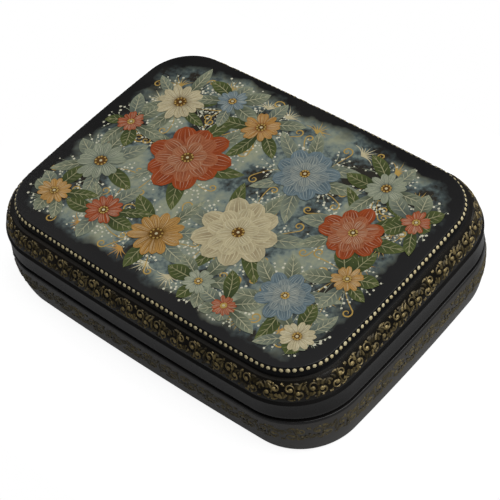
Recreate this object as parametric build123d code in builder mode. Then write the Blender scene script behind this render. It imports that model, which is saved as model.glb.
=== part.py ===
from build123d import *

import math
import os

# A black-lacquered papier-mache box with a hinged lid, in millimetres.
# X runs along the box, -Y is the opening side, +Y the hinge side and +Z is up.
# The origin is the centre of the underside.

# The winding form: the plan of the inside of the walls, with bowed sides and round corners
form_length = 92.0
form_depth = 66.0
form_corner_radius = 12.0
long_side_bow_radius = 1150.0
short_side_bow_radius = 570.0

# Base: a wall that swells a little below the seam and rounds under to a flat foot
wall_thickness = 4.0
base_height = 13.0
base_swell_height = 10.5
base_side_radius = 30.0
foot_radius = 2.3
bottom_thickness = 3.0
seam_edge_bevel = 0.3

# Collar: the sleeve inside the base that stands above the seam and locates the lid
collar_thickness = 1.2
collar_rise = 3.0
collar_lead_bevel = 0.4
lid_clearance = 0.3
glue_gap = 0.05

# Lid: a plain hollowed rim, a bulging moulding stepped back on it, and a raised pillowed panel
rim_height = 6.4
rim_hollow = 0.2
rim_shoulder_bevel = 0.6
moulding_height = 4.5
moulding_setback = 0.7
moulding_lean = 1.85
moulding_bulge = 0.36
moulding_ledge = 1.5
panel_ledge = 0.2
panel_edge_height = 1.9
panel_edge_width = 1.35
panel_edge_bulge = 0.3
plug_depth = 2.3
pillow_rise = 0.6
pillow_flat_radius = 3.0

# Hinge: rolled knuckles on a wire, let into a groove along the back of the seam
hinge_length = 40.0
knuckle_play = 0.1
sheet_thickness = 0.5
pin_diameter = 1.0
pin_grip_clearance = 0.01
pin_turn_clearance = 0.05
hinge_inset = 0.6
groove_clearance = 0.2
tail_reach = 3.6
tail_slope = 45.0
slit_gap = 0.05
lid_stop_angle = 102.0

# Knuckles from left to right: base and lid take turns along the pin
knuckle_names = (
    "base_knuckle_left",
    "lid_knuckle_left",
    "base_knuckle_middle",
    "lid_knuckle_right",
    "base_knuckle_right",
)

# Heights and places that follow from the sizes above
seam_z = base_height
rim_top_z = seam_z + rim_height
moulding_top_z = rim_top_z + moulding_height
panel_edge_z = moulding_top_z + panel_edge_height
lid_inner_outset = lid_clearance
moulding_inner_outset = lid_inner_outset - moulding_ledge
moulding_foot_outset = wall_thickness - moulding_setback
moulding_top_outset = moulding_foot_outset - moulding_lean
panel_outset = moulding_top_outset - panel_ledge
plug_outset = moulding_inner_outset - glue_gap
pillow_width = form_corner_radius - pillow_flat_radius
knuckle_count = len(knuckle_names)
knuckle_pitch = hinge_length / knuckle_count
knuckle_length = knuckle_pitch - knuckle_play
knuckle_radius = pin_diameter / 2 + pin_turn_clearance + sheet_thickness
groove_radius = knuckle_radius + groove_clearance
hinge_y = form_depth / 2 + wall_thickness - hinge_inset
base_knuckles = range(0, knuckle_count, 2)
lid_knuckles = range(1, knuckle_count, 2)
bevel_length = form_length + 2 * wall_thickness
bevel_depth = hinge_inset + wall_thickness
bevel_drop = bevel_depth * math.tan(math.radians(lid_stop_angle / 2))


def plan(outset):
    """Plan of the box, parallel to the winding form and moved out from it by outset."""
    long_centre = form_depth / 2 - long_side_bow_radius
    short_centre = form_length / 2 - short_side_bow_radius
    with BuildSketch() as sketch:
        with Locations((0, long_centre)):
            Circle(long_side_bow_radius + outset)
        with Locations((0, -long_centre)):
            Circle(long_side_bow_radius + outset, mode=Mode.INTERSECT)
        with Locations((short_centre, 0)):
            Circle(short_side_bow_radius + outset, mode=Mode.INTERSECT)
        with Locations((-short_centre, 0)):
            Circle(short_side_bow_radius + outset, mode=Mode.INTERSECT)
        fillet(sketch.vertices(), form_corner_radius + outset)
    return sketch.sketch


# The outline that mouldings follow, and the upright plane across its start: x is outwards, y is up
outline = plan(0).faces()[0].outer_wire()
outline_start = outline @ 0
outline_run = outline % 0
section_plane = Plane(origin=outline_start, x_dir=outline_run.cross(Vector(0, 0, 1)), z_dir=-outline_run)


def knuckle_centre(index):
    """X of the middle of a knuckle, counted from the left end of the hinge."""
    return (index + 0.5) * knuckle_pitch - hinge_length / 2


def tail_location(index, slope):
    """Frame on the hinge axis at a knuckle, turned so that -Y runs down the tail's slit."""
    return Location((knuckle_centre(index), hinge_y, seam_z), (slope, 0, 0))


def cut_hinge_seat(indices, slope, side):
    """Cut the groove, the stop bevel and the slits for some knuckles in the wall being built."""
    with Locations(Location((0, hinge_y, seam_z), (0, 90, 0))):
        Cylinder(groove_radius, hinge_length + 2 * knuckle_play, mode=Mode.SUBTRACT)
    with BuildSketch(Plane.YZ.offset(-bevel_length / 2)) as bevel:
        with BuildLine():
            Polyline(
                (hinge_y, seam_z),
                (hinge_y + bevel_depth, seam_z),
                (hinge_y + bevel_depth, seam_z + side * bevel_drop),
                close=True,
            )
        make_face()
    extrude(bevel.sketch, amount=bevel_length, mode=Mode.SUBTRACT)
    for index in indices:
        with Locations(tail_location(index, slope)):
            Box(
                knuckle_length + 2 * slit_gap,
                tail_reach + slit_gap,
                sheet_thickness + 2 * slit_gap,
                align=(Align.CENTER, Align.MAX, Align.CENTER),
                mode=Mode.SUBTRACT,
            )


def hinge_knuckle(index, slope, bore_clearance):
    """A rolled knuckle round the pin, with the straight tail that is let into its wall."""
    with BuildPart() as knuckle:
        with Locations(Location((knuckle_centre(index), hinge_y, seam_z), (0, 90, 0))):
            Cylinder(knuckle_radius, knuckle_length)
        with Locations(tail_location(index, slope)):
            Box(
                knuckle_length,
                tail_reach,
                sheet_thickness,
                align=(Align.CENTER, Align.MAX, Align.CENTER),
            )
        with Locations(Location((knuckle_centre(index), hinge_y, seam_z), (0, 90, 0))):
            Cylinder(pin_diameter / 2 + bore_clearance, knuckle_length, mode=Mode.SUBTRACT)
    return knuckle.part


# Sections are drawn on an upright plane: x is the distance out from the form, y is the height
def outer_corner(sketch, level):
    """The outermost corner of a section on its lowest (0) or highest (-1) level."""
    return sketch.vertices().group_by(Axis.Y)[level].sort_by(Axis.X)[-1]


# Base wall: one long arc from foot to seam, rounded under at the foot, carried round the plan
seam_rise = base_height - base_swell_height
base_arc_x = wall_thickness - math.sqrt(base_side_radius**2 - seam_rise**2)
base_foot_outset = base_arc_x + math.sqrt(base_side_radius**2 - base_swell_height**2)
with BuildPart() as base_wall:
    with BuildSketch(section_plane) as base_section:
        with BuildLine():
            RadiusArc((base_foot_outset, 0), (wall_thickness, seam_z), -base_side_radius)
            Polyline((wall_thickness, seam_z), (0, seam_z), (0, 0), (base_foot_outset, 0))
        make_face()
        fillet(outer_corner(base_section, 0), foot_radius)
        chamfer(outer_corner(base_section, -1), seam_edge_bevel)
    sweep(path=outline)
    cut_hinge_seat(base_knuckles, tail_slope, -1)
base_wall.part.label = "base_wall"

# Base bottom: a board glued inside the foot of the wall
with BuildPart() as base_bottom:
    add(plan(-glue_gap))
    extrude(amount=bottom_thickness)
base_bottom.part.label = "base_bottom"

# Inner collar: a thin sleeve on the bottom board, with its leading edge eased
with BuildPart() as inner_collar:
    with BuildSketch(section_plane) as collar_section:
        with BuildLine():
            Polyline(
                (-glue_gap, bottom_thickness),
                (-glue_gap, seam_z + collar_rise),
                (-glue_gap - collar_thickness, seam_z + collar_rise),
                (-glue_gap - collar_thickness, bottom_thickness),
                close=True,
            )
        make_face()
        chamfer(outer_corner(collar_section, -1), collar_lead_bevel)
    sweep(path=outline)
inner_collar.part.label = "inner_collar"

# Lid wall: the plain rim, its face a little hollow and its shoulder eased under the moulding
with BuildPart() as lid_wall:
    with BuildSketch(section_plane) as rim_section:
        with BuildLine():
            SagittaArc((wall_thickness, seam_z), (wall_thickness, rim_top_z), rim_hollow)
            Polyline(
                (wall_thickness, rim_top_z),
                (lid_inner_outset, rim_top_z),
                (lid_inner_outset, seam_z),
                (wall_thickness, seam_z),
            )
        make_face()
        chamfer(outer_corner(rim_section, 0), seam_edge_bevel)
        chamfer(outer_corner(rim_section, -1), rim_shoulder_bevel)
    sweep(path=outline)
    cut_hinge_seat(lid_knuckles, -tail_slope, 1)
lid_wall.part.label = "lid_wall"

# Lid moulding: a bulging band that leans in from its foot to the ledge under the panel
with BuildPart() as lid_moulding:
    with BuildSketch(section_plane):
        with BuildLine():
            SagittaArc(
                (moulding_foot_outset, rim_top_z),
                (moulding_top_outset, moulding_top_z),
                -moulding_bulge,
            )
            Polyline(
                (moulding_top_outset, moulding_top_z),
                (moulding_inner_outset, moulding_top_z),
                (moulding_inner_outset, rim_top_z),
                (moulding_foot_outset, rim_top_z),
            )
        make_face()
    sweep(path=outline)
lid_moulding.part.label = "lid_moulding"

# Lid panel: a raised board plugged into the moulding; its edge is rolled and its top pillowed by
# cutting away the space outside that profile all round
pillow_top_z = panel_edge_z + pillow_rise
pillow_radius = (pillow_width**2 + pillow_rise**2) / (2 * pillow_rise)
panel_rim_outset = panel_outset - panel_edge_width
pillow_flat_outset = panel_rim_outset - pillow_width
with BuildPart() as lid_panel:
    with BuildSketch(Plane.XY.offset(moulding_top_z)):
        add(plan(panel_outset))
    extrude(amount=panel_edge_height + pillow_rise)
    with BuildSketch(Plane.XY.offset(moulding_top_z)):
        add(plan(plug_outset))
    extrude(amount=-plug_depth)
    with BuildSketch(section_plane):
        with BuildLine():
            SagittaArc((panel_outset, moulding_top_z), (panel_rim_outset, panel_edge_z), -panel_edge_bulge)
            RadiusArc((panel_rim_outset, panel_edge_z), (pillow_flat_outset, pillow_top_z), -pillow_radius)
            Polyline(
                (pillow_flat_outset, pillow_top_z),
                (pillow_flat_outset, pillow_top_z + pillow_rise),
                (panel_outset + panel_edge_width, pillow_top_z + pillow_rise),
                (panel_outset + panel_edge_width, moulding_top_z),
                (panel_outset, moulding_top_z),
            )
        make_face()
    sweep(path=outline, mode=Mode.SUBTRACT)
lid_panel.part.label = "lid_panel"

# Hinge: the lid's knuckles turn on the pin, and the base's grip it
knuckles = []
for index, name in enumerate(knuckle_names):
    on_lid = index in lid_knuckles
    slope = -tail_slope if on_lid else tail_slope
    clearance = pin_turn_clearance if on_lid else pin_grip_clearance
    knuckle = hinge_knuckle(index, slope, clearance)
    knuckle.label = name
    knuckles.append(knuckle)

with BuildPart() as hinge_pin:
    with Locations(Location((0, hinge_y, seam_z), (0, 90, 0))):
        Cylinder(pin_diameter / 2, hinge_length)
hinge_pin.part.label = "hinge_pin"

os.makedirs("parts", exist_ok=True)
blocks = (base_wall, base_bottom, inner_collar, lid_wall, lid_moulding, lid_panel, hinge_pin)
for piece in [block.part for block in blocks] + knuckles:
    export_step(piece, f"parts/{piece.label}.step")
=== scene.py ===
import math
import random

import bpy
from mathutils import Matrix, Vector


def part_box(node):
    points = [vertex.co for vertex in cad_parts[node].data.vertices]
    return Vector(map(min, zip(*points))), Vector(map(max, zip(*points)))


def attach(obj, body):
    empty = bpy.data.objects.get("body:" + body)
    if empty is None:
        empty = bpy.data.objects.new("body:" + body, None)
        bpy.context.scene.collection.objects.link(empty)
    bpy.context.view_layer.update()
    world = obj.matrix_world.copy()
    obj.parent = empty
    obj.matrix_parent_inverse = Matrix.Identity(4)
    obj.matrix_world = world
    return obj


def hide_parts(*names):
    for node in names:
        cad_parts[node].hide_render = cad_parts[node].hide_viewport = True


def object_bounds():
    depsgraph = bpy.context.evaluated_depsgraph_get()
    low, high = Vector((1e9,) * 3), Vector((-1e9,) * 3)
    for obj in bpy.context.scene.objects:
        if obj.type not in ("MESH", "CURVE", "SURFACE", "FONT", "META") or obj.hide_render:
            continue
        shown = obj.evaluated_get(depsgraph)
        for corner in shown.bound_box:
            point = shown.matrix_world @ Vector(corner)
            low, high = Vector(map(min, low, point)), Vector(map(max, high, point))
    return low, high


# A black-lacquered papier-mache box with gold ornament and a painted lid.
# Blender works in metres in the CAD frame; sizes are written in millimetres and scaled by MM.
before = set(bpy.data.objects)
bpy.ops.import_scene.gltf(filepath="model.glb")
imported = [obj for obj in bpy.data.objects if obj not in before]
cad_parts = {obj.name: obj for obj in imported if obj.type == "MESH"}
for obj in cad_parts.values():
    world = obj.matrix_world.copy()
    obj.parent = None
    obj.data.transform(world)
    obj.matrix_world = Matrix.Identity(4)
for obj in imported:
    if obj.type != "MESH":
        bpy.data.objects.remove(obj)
cad_low, cad_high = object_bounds()
MM = 0.001


def node_mm(node):
    """Lowest and highest corner of a CAD node, in millimetres."""
    low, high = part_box(node)
    return low / MM, high / MM


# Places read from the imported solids
board_high = node_mm("base_bottom")[1]
collar_low, collar_high = node_mm("inner_collar")
rim_low, rim_high = node_mm("lid_wall")
panel_low, panel_high = node_mm("lid_panel")
pin_low, pin_high = node_mm("hinge_pin")
seam_z = rim_low.z
rim_top_z = rim_high.z
moulding_top_z = node_mm("lid_moulding")[1].z
panel_top_z = panel_high.z
hinge_y = (pin_low.y + pin_high.y) / 2
hinge_length = pin_high.x - pin_low.x
pin_radius = (pin_high.z - pin_low.z) / 2

# The winding form that all the outlines run parallel to
glue_gap = 0.05
form_half_length = board_high.x + glue_gap
form_half_depth = board_high.y + glue_gap
form_corner_radius = 12.0
long_side_bow_radius = 1150.0
short_side_bow_radius = 570.0
panel_outset = panel_high.x - form_half_length

# Sections of the shells
wall_outset = 4.0
base_side_radius = 30.0
base_swell_z = 10.5
foot_radius = 2.3
base_edge_bevel = 0.1
# Height of the black band painted along the top of the base's side, as painted shade in the seam
seam_shade_band_width = 0.5
collar_thickness = 1.2
collar_lead = 0.4
lid_clearance = 0.3
rim_edge_radius = 1.4
rim_hollow = 0.2
rim_shoulder_bevel = 0.6
moulding_setback = 0.55
moulding_lean = 2.0
moulding_lap = 0.06
moulding_bulge = 0.36
moulding_ledge = 1.5
moulding_inner = lid_clearance - moulding_ledge
edge_softness = 0.08
eased_turn = math.radians(20)
sharp_turn = math.radians(35)
nearly_level = 0.9
nearly_upright = 0.3

# The panel's edge and pillow; places (out, up) are measured from the dot line
dot_line_inset = 1.35
dot_line_drop = 0.6
panel_wall_run = 0.75
wall_middle = (0.55, -1.1)
shoulder_foot = (0.26, -0.5)
shoulder_top = (-0.18, 0.29)
crest_inset = 0.25
crest_rise = 0.33
pillow_width = 8.4
pillow_rise = dot_line_drop - crest_rise
pillow_radius = (pillow_width**2 + pillow_rise**2) / (2 * pillow_rise)
dot_outset = panel_outset - dot_line_inset
dot_z = panel_top_z - dot_line_drop
pillow_top_outset = dot_outset - crest_inset - pillow_width

# The hinge
groove_radius = 1.25
groove_end_room = 0.1
knuckle_radius = 1.05
bore_room = 0.03
sheet_thickness = 0.5
roll_gap = 0.12
tail_reach = 3.6
tail_slope = 45.0
slit_gap = 0.05
stop_bevel_angle = 51.0

# Ornament; the height of a dot and of the scroll's strokes is a share of the motif's size
dot_pitch = 1.38
dot_slide = 0.32
dot_radius = 0.46
dot_height = 0.36
dot_size_change = 0.16
scroll_unit_ratio = 1.1
scroll_stroke_height = 0.03
lid_scroll_margin = 0.2
lid_scroll_height = 4.5
base_scroll_margin = 7.6
base_scroll_height = 5.0
gold_raise = 0.002
picture_half_length = 42.0
picture_half_depth = 30.5
picture_margin = 3.0
picture_squareness = 8.0
paint_raise = 0.004
paint_layer = 0.0006
line_height = 0.01
grass_layer = 0.012
bead_height = 0.02

# The view, worked out from the photograph: the aim is the middle of the dot line's plane
photo_size = 500
camera_azimuth = 48.42
camera_elevation = 47.89
camera_roll = -10.68
camera_distance = 353.6
focal_pixels = 1578.5
aim_pixel_x = 234.9
aim_pixel_y = 197.8


def colour(code):
    """Linear colour of an sRGB hex code."""
    linear = []
    for place in (0, 2, 4):
        channel = int(code[place : place + 2], 16) / 255
        linear.append(channel / 12.92 if channel < 0.04045 else ((channel + 0.055) / 1.055) ** 2.4)
    return (*linear, 1.0)


# Node helpers: an input may be a plain value or the output of another node
def add_node(tree, kind, inputs=None, **settings):
    """A new node with its settings and its inputs, which are keyed by socket name or number."""
    node = tree.nodes.new(kind)
    for setting, value in settings.items():
        setattr(node, setting, value)
    for socket, value in (inputs or {}).items():
        if isinstance(value, bpy.types.NodeSocket):
            tree.links.new(value, node.inputs[socket])
        else:
            node.inputs[socket].default_value = value
    return node


def mix_colour(tree, factor, first, second):
    """Blend from the first colour to the second; this node's colour sockets go by number."""
    inputs = {0: factor, 6: first, 7: second}
    return add_node(tree, "ShaderNodeMix", inputs, data_type="RGBA").outputs[2]


def spread(tree, value, low, high, to_low=0.0, to_high=1.0):
    """Stretch the range low to high onto another range, and clamp it there."""
    inputs = {"Value": value, "From Min": low, "From Max": high, "To Min": to_low, "To Max": to_high}
    return add_node(tree, "ShaderNodeMapRange", inputs).outputs["Result"]


def noise(tree, place, scale, detail):
    """Soft noise over the surface; scale counts features in a metre."""
    inputs = {"Vector": place, "Scale": scale, "Detail": detail}
    return add_node(tree, "ShaderNodeTexNoise", inputs).outputs["Fac"]


def calculate(tree, operation, first, second):
    """One sum on two values."""
    return add_node(tree, "ShaderNodeMath", {0: first, 1: second}, operation=operation).outputs[0]


def calculate_vector(tree, operation, inputs):
    """One sum on vectors."""
    return add_node(tree, "ShaderNodeVectorMath", inputs, operation=operation).outputs[0]


def parts_of(tree, vector):
    """The X, Y and Z of a vector."""
    return add_node(tree, "ShaderNodeSeparateXYZ", {0: vector}).outputs


def object_place(tree):
    """Object coordinates, which for these pieces are the CAD frame's metres."""
    return add_node(tree, "ShaderNodeTexCoord").outputs["Object"]


def new_group(name, kind, inputs, outputs):
    """A node group with named sockets, and its two end nodes."""
    group = bpy.data.node_groups.new(name, kind)
    for socket, socket_type, default in inputs:
        made = group.interface.new_socket(socket, in_out="INPUT", socket_type=socket_type)
        if default is not None:
            made.default_value = default
    for socket, socket_type in outputs:
        group.interface.new_socket(socket, in_out="OUTPUT", socket_type=socket_type)
    return group, group.nodes.new("NodeGroupInput"), group.nodes.new("NodeGroupOutput")


def put_out(group, end, **results):
    """Lead results to a group's outputs of the same names."""
    for socket, result in results.items():
        group.links.new(result, end.inputs[socket])
    return group


surface_outputs = (
    ("Colour", "NodeSocketColor"),
    ("Roughness", "NodeSocketFloat"),
    ("Height", "NodeSocketFloat"),
)


def lacquer_skin_group():
    """Hand-rubbed lacquer: slow clouds of colour, fine specks of dust and a faint orange-peel skin."""
    inputs = (
        ("Deep Colour", "NodeSocketColor", (0.0, 0.0, 0.0, 1.0)),
        ("Worn Colour", "NodeSocketColor", (0.1, 0.1, 0.1, 1.0)),
        ("Dust Colour", "NodeSocketColor", (0.3, 0.3, 0.3, 1.0)),
        ("Gloss", "NodeSocketFloat", 0.2),
        ("Dull", "NodeSocketFloat", 0.35),
    )
    group, start, end = new_group("lacquer_skin", "ShaderNodeTree", inputs, surface_outputs)
    place = object_place(group)
    clouds = noise(group, place, scale=55.0, detail=5.0)
    peel = noise(group, place, scale=900.0, detail=1.0)
    specks = add_node(group, "ShaderNodeTexVoronoi", {"Vector": place, "Scale": 420.0}).outputs["Distance"]
    cloud_mask = spread(group, clouds, low=0.35, high=0.7)
    dust_mask = spread(group, specks, low=0.09, high=0.02, to_high=0.5)
    body = mix_colour(group, cloud_mask, start.outputs["Deep Colour"], start.outputs["Worn Colour"])
    dusted = mix_colour(group, dust_mask, body, start.outputs["Dust Colour"])
    gloss, dull = start.outputs["Gloss"], start.outputs["Dull"]
    rough = spread(group, clouds, low=0.3, high=0.75, to_low=gloss, to_high=dull)
    return put_out(group, end, Colour=dusted, Roughness=rough, Height=peel)


def laid_paint_group():
    """Paint laid by hand: thin and full places along the stroke, and a grainy relief."""
    inputs = (
        ("Thin Colour", "NodeSocketColor", (0.1, 0.1, 0.1, 1.0)),
        ("Full Colour", "NodeSocketColor", (0.8, 0.8, 0.8, 1.0)),
        ("Grain Scale", "NodeSocketFloat", 1500.0),
        ("Cover", "NodeSocketFloat", 0.5),
    )
    group, start, end = new_group("laid_paint", "ShaderNodeTree", inputs, surface_outputs)
    place = object_place(group)
    grain = noise(group, place, start.outputs["Grain Scale"], detail=3.0)
    drift = noise(group, place, scale=260.0, detail=2.0)
    laid = calculate(group, "ADD", calculate(group, "ADD", grain, drift), start.outputs["Cover"])
    cover = spread(group, laid, low=1.15, high=1.75)
    mixed = mix_colour(group, cover, start.outputs["Thin Colour"], start.outputs["Full Colour"])
    rough = spread(group, grain, low=0.3, high=0.7, to_low=0.5, to_high=0.32)
    return put_out(group, end, Colour=mixed, Roughness=rough, Height=grain)


def painted_ground_group():
    """The pale wash under the flowers: a field with a cloudy edge, in drifts of grey, green and blue."""
    inputs = (
        ("Half Length", "NodeSocketFloat", 0.03),
        ("Half Depth", "NodeSocketFloat", 0.02),
        ("Pale Colour", "NodeSocketColor", (0.4, 0.4, 0.4, 1.0)),
        ("Cool Colour", "NodeSocketColor", (0.2, 0.2, 0.3, 1.0)),
        ("Deep Colour", "NodeSocketColor", (0.0, 0.1, 0.1, 1.0)),
    )
    outputs = (("Colour", "NodeSocketColor"), ("Mask", "NodeSocketFloat"))
    group, start, end = new_group("painted_ground", "ShaderNodeTree", inputs, outputs)
    raggedness = 0.3
    stipple_share = 0.25
    place = object_place(group)
    flat = parts_of(group, place)
    reach = 0.0
    for axis, half in (("X", "Half Length"), ("Y", "Half Depth")):
        share = calculate(group, "DIVIDE", flat[axis], start.outputs[half])
        size = calculate(group, "ABSOLUTE", share, 0.0)
        reach = calculate(group, "ADD", calculate(group, "POWER", size, picture_squareness), reach)
    reach = calculate(group, "POWER", reach, 1 / picture_squareness)
    billow = noise(group, place, scale=150.0, detail=3.0)
    edge = calculate(group, "ADD", reach, calculate(group, "MULTIPLY", billow, raggedness))
    mask = spread(group, edge, low=1.15, high=1.04)
    drift = noise(group, place, scale=75.0, detail=4.0)
    stipple = noise(group, place, scale=900.0, detail=2.0)
    dabbed = calculate(group, "ADD", drift, calculate(group, "MULTIPLY", stipple, stipple_share))
    cool_mask = spread(group, dabbed, low=0.5, high=0.64)
    pale_mask = spread(group, dabbed, low=0.58, high=0.76)
    cool = mix_colour(group, cool_mask, start.outputs["Deep Colour"], start.outputs["Cool Colour"])
    wash = mix_colour(group, pale_mask, cool, start.outputs["Pale Colour"])
    return put_out(group, end, Colour=wash, Mask=mask)


lacquer_skin = lacquer_skin_group()
laid_paint = laid_paint_group()
painted_ground = painted_ground_group()


def set_inputs(node, **values):
    """Set named inputs of a node; underscores stand for spaces."""
    for socket, value in values.items():
        node.inputs[socket.replace("_", " ")].default_value = value


def finish_material(name, group, relief, **sockets):
    """A material whose surface comes from a shared group, with its plain values on the shader itself."""
    material = bpy.data.materials.new(name)
    material.use_nodes = True
    tree = material.node_tree
    shader = tree.nodes["Principled BSDF"]
    skin = add_node(tree, "ShaderNodeGroup", node_tree=group)
    bump = add_node(tree, "ShaderNodeBump", {"Distance": relief * MM, "Height": skin.outputs["Height"]})
    tree.links.new(skin.outputs["Colour"], shader.inputs["Base Color"])
    tree.links.new(skin.outputs["Roughness"], shader.inputs["Roughness"])
    tree.links.new(bump.outputs["Normal"], shader.inputs["Normal"])
    set_inputs(shader, **sockets)
    return material, skin


def rubbed_finish(name, colours, relief, gloss, dull, **sockets):
    """A material with the lacquer's skin, in its own deep, worn and dust colours."""
    material, skin = finish_material(name, lacquer_skin, relief, **sockets)
    deep, worn, dust = (colour(code) for code in colours)
    set_inputs(skin, Deep_Colour=deep, Worn_Colour=worn, Dust_Colour=dust, Gloss=gloss, Dull=dull)
    return material


def black_lacquer(name, deep, worn, index=1.5, dull=0.34):
    """Near-black lacquer, warmer where the rubbed coats are thinner."""
    return rubbed_finish(name, (deep, worn, "302d2a"), relief=0.004, gloss=0.2, dull=dull, IOR=index)


def painted_lacquer():
    """The panel's black lacquer with the pale ground of the picture laid on it."""
    material = black_lacquer("painted_lacquer", "131314", "1a1918", dull=0.3)
    tree = material.node_tree
    ground = add_node(tree, "ShaderNodeGroup", node_tree=painted_ground)
    set_inputs(
        ground,
        Half_Length=picture_half_length * MM,
        Half_Depth=picture_half_depth * MM,
        Pale_Colour=colour("949880"),
        Cool_Colour=colour("637475"),
        Deep_Colour=colour("29261f"),
    )
    shown = tree.nodes["Principled BSDF"].inputs["Base Color"]
    bare = shown.links[0].from_socket
    tree.links.new(mix_colour(tree, ground.outputs["Mask"], bare, ground.outputs["Colour"]), shown)
    return material


def red_lacquer():
    """The red lining of the inside."""
    colours = ("8e1b12", "a8281a", "c0604c")
    return rubbed_finish("red_lacquer", colours, relief=0.005, gloss=0.2, dull=0.34, Specular_IOR_Level=0.4)


def plain_metal(name, deep, worn, roughness):
    """Bare metal with fine handling marks."""
    colours = (deep, worn, deep)
    return rubbed_finish(name, colours, relief=0.002, gloss=roughness, dull=roughness + 0.15, Metallic=1.0)


def metal_paint(name, thin, full, cover, metallic):
    """Powdered metal in varnish, brighter where the tone attribute says that the stroke is full."""
    material, skin = finish_material(name, laid_paint, relief=0.01, Metallic=metallic)
    tree = material.node_tree
    set_inputs(skin, Grain_Scale=2200.0, Cover=cover)
    tone = add_node(tree, "ShaderNodeAttribute", attribute_name="tone").outputs["Fac"]
    for socket, (faint, bright) in (("Thin Colour", thin), ("Full Colour", full)):
        tree.links.new(mix_colour(tree, tone, colour(faint), colour(bright)), skin.inputs[socket])
    return material


def miniature_paint():
    """Tempera under varnish, in the colours of the paint attribute, thinner in places."""
    material, skin = finish_material("miniature_paint", laid_paint, relief=0.006, IOR=1.2)
    tree = material.node_tree
    set_inputs(skin, Grain_Scale=1800.0, Cover=0.6)
    laid = add_node(tree, "ShaderNodeAttribute", attribute_name="paint").outputs["Color"]
    thin = add_node(tree, "ShaderNodeHueSaturation", {"Value": 0.72, "Color": laid}).outputs["Color"]
    tree.links.new(thin, skin.inputs["Thin Colour"])
    tree.links.new(laid, skin.inputs["Full Colour"])
    return material


lid_black = black_lacquer("lid_black_lacquer", "131314", "1c1a18")
moulding_black = black_lacquer("moulding_black_lacquer", "12100c", "1b1711")
base_black = black_lacquer("base_black_lacquer", "2a2721", "353029", index=1.9)
red = red_lacquer()
painted_panel = painted_lacquer()
dot_gold = metal_paint("dot_gold", ("b09b5c", "c8b174"), ("ceba84", "dcd1a7"), cover=0.85, metallic=0.05)
scroll_gold = metal_paint(
    "scroll_gold", ("110f06", "3b321a"), ("241f10", "baa56f"), cover=0.62, metallic=0.45
)
# A darker, duller copy of the scroll gold, used for the base's scroll band
scroll_bronze = metal_paint(
    "scroll_bronze", ("454031", "635a3e"), ("59523e", "90825a"), cover=0.4, metallic=0.2
)
picture_paint = miniature_paint()
hinge_brass = plain_metal("hinge_brass", "a8843c", "c9a457", roughness=0.28)
pin_steel = plain_metal("pin_steel", "8f8f8c", "b4b4b0", roughness=0.25)


# The outline, and shells that follow it
def plan_centres():
    """Centres of the right short side, of the corner next to it and of the long side beyond."""
    short_middle = Vector((form_half_length - short_side_bow_radius, 0))
    long_middle = Vector((0, form_half_depth - long_side_bow_radius))
    short_reach = short_side_bow_radius - form_corner_radius
    long_reach = long_side_bow_radius - form_corner_radius
    apart = short_middle - long_middle
    along = (long_reach**2 - short_reach**2 + apart.length_squared) / (2 * apart.length)
    run = apart.normalized()
    aside = math.sqrt(long_reach**2 - along**2) * Vector((-run.y, run.x))
    foot = long_middle + along * run
    corner = max((foot + aside, foot - aside), key=lambda place: place.x)
    return short_middle, corner, long_middle


short_centre, corner_centre, long_centre = plan_centres()
corner_start_angle = math.atan2(corner_centre.y, corner_centre.x - short_centre.x)
corner_end_angle = math.atan2(corner_centre.y - long_centre.y, corner_centre.x)


def outline_stations(side_steps, corner_steps):
    """Points round the form, anticlockwise from the right side, each with its outward direction."""
    half_turn = math.pi
    first, last = corner_start_angle, corner_end_angle
    far_corner_centre = Vector((-corner_centre.x, corner_centre.y))
    half_round = (
        (short_centre, short_side_bow_radius, -first, first, side_steps),
        (corner_centre, form_corner_radius, first, last, corner_steps),
        (long_centre, long_side_bow_radius, last, half_turn - last, side_steps),
        (far_corner_centre, form_corner_radius, half_turn - last, half_turn - first, corner_steps),
    )
    found = []
    for sign, turned in ((1, 0.0), (-1, half_turn)):
        for centre, radius, start, end, steps in half_round:
            for step in range(steps):
                angle = start + turned + (end - start) * step / steps
                outward = Vector((math.cos(angle), math.sin(angle)))
                found.append((sign * centre + radius * outward, outward))
    return found


stations = outline_stations(side_steps=36, corner_steps=40)


def outset_at(x, y):
    """How far a point in plan lies outside the form; negative inside it."""
    place = Vector((abs(x), abs(y)))
    from_corner = place - corner_centre
    if corner_start_angle <= math.atan2(from_corner.y, from_corner.x) <= corner_end_angle:
        return from_corner.length - form_corner_radius
    long_gap = (place - long_centre).length - long_side_bow_radius
    short_gap = (place - short_centre).length - short_side_bow_radius
    return max(long_gap, short_gap)


def unit_steps(steps):
    """Even values from 0 to 1."""
    return [step / steps for step in range(steps + 1)]


def arc_points(centre_x, centre_z, radius, start, end, steps):
    """Points (outset, height) on an arc of a section, between two angles in radians."""
    angles = [start + (end - start) * part for part in unit_steps(steps)]
    return [(centre_x + radius * math.cos(angle), centre_z + radius * math.sin(angle)) for angle in angles]


def bulged_points(start, end, bulge, steps):
    """Points of an arc from start to end that stands out to the right of its chord by bulge."""
    chord = math.dist(start, end)
    radius = (chord**2 / 4 + bulge**2) / (2 * bulge)
    run_x = (end[0] - start[0]) / chord
    run_z = (end[1] - start[1]) / chord
    centre_x = (start[0] + end[0]) / 2 - run_z * (radius - bulge)
    centre_z = (start[1] + end[1]) / 2 + run_x * (radius - bulge)
    first = math.atan2(start[1] - centre_z, start[0] - centre_x)
    last = math.atan2(end[1] - centre_z, end[0] - centre_x)
    return arc_points(centre_x, centre_z, radius, first, last, steps)


def curve_through(controls, steps):
    """A smooth path through a few points."""
    ends = [controls[0]] + list(controls) + [controls[-1]]
    path = []
    for span in range(len(controls) - 1):
        before, start, end, after = (Vector(point) for point in ends[span : span + 4])
        for part in unit_steps(steps)[:-1]:
            place = start + (end - before) * part / 2
            place += (2 * before - 5 * start + 4 * end - after) * part**2 / 2
            place += (3 * start - 3 * end + after - before) * part**3 / 2
            path.append(tuple(place))
    path.append(tuple(controls[-1]))
    return path


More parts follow.
